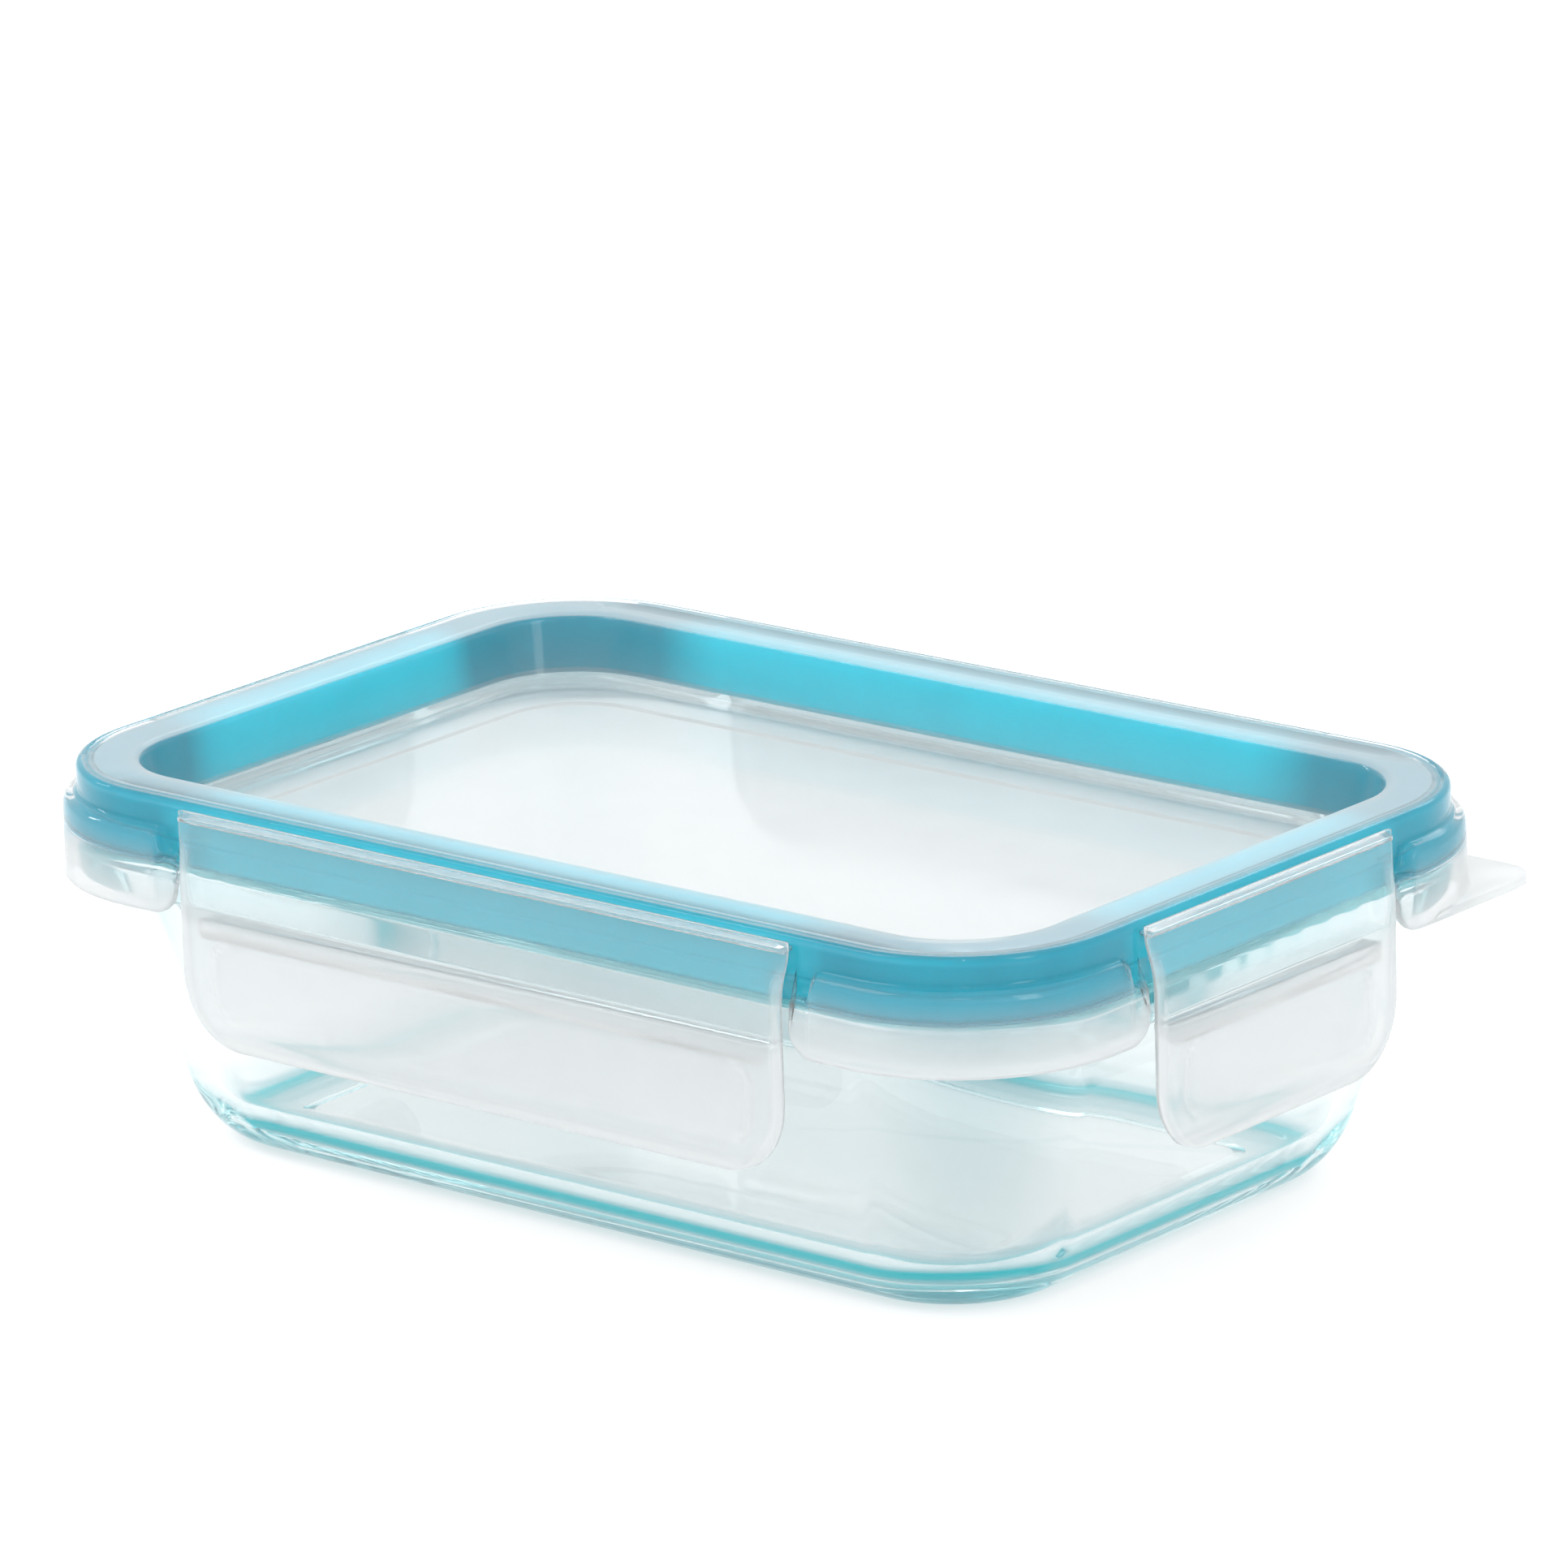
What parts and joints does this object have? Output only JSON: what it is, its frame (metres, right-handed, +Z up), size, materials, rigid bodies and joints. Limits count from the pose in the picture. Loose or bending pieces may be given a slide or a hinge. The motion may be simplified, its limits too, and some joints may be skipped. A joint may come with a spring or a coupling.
{
  "type": "food storage container with clip lid",
  "caption": "Rectangular glass food container with a recessed, gasketed lid held by hinged edge latches and a corner pull tab.",
  "frame": {"origin": "centre of the foot on the surface the container stands on, midway between the latches", "axes": "+X along the long side towards the right end latch, +Y towards the back long latch, +Z up; the pull tab is at the +X +Y corner"},
  "size_m": [0.1954, 0.1304, 0.0598],
  "materials": {
    "dish_glass": "clear pressed glass with a faint aqua edge tint",
    "lid_plastic": "translucent milky moulded plastic, satin",
    "gasket_silicone": "smooth teal silicone"
  },
  "bodies": {
    "dish": {"glass_dish": "dish_glass"},
    "lid_assembly": {"lid": "lid_plastic", "gasket": "gasket_silicone", "front_hinge_web": "lid_plastic", "back_hinge_web": "lid_plastic", "right_hinge_web": "lid_plastic", "left_hinge_web": "lid_plastic"},
    "front_clip": {"front_latch": "lid_plastic"},
    "back_clip": {"back_latch": "lid_plastic"},
    "right_clip": {"right_latch": "lid_plastic"},
    "left_clip": {"left_latch": "lid_plastic"}
  },
  "joints": [
    {"name": "lid_lift", "type": "slide", "parent": "dish", "child": "lid_assembly", "axis": [0, 0, 1], "range_m": [0, 0.06]},
    {"name": "front_latch_hinge", "type": "hinge", "parent": "lid_assembly", "child": "front_clip", "pos_m": [0, -0.0641, 0.0578], "axis": [-1, 0, 0], "range_deg": [0, 140]},
    {"name": "back_latch_hinge", "type": "hinge", "parent": "lid_assembly", "child": "back_clip", "pos_m": [0, 0.0641, 0.0578], "axis": [1, 0, 0], "range_deg": [0, 140]},
    {"name": "right_latch_hinge", "type": "hinge", "parent": "lid_assembly", "child": "right_clip", "pos_m": [0.0966, 0, 0.0578], "axis": [0, -1, 0], "range_deg": [0, 140]},
    {"name": "left_latch_hinge", "type": "hinge", "parent": "lid_assembly", "child": "left_clip", "pos_m": [-0.0966, 0, 0.0578], "axis": [0, 1, 0], "range_deg": [0, 140]}
  ]
}
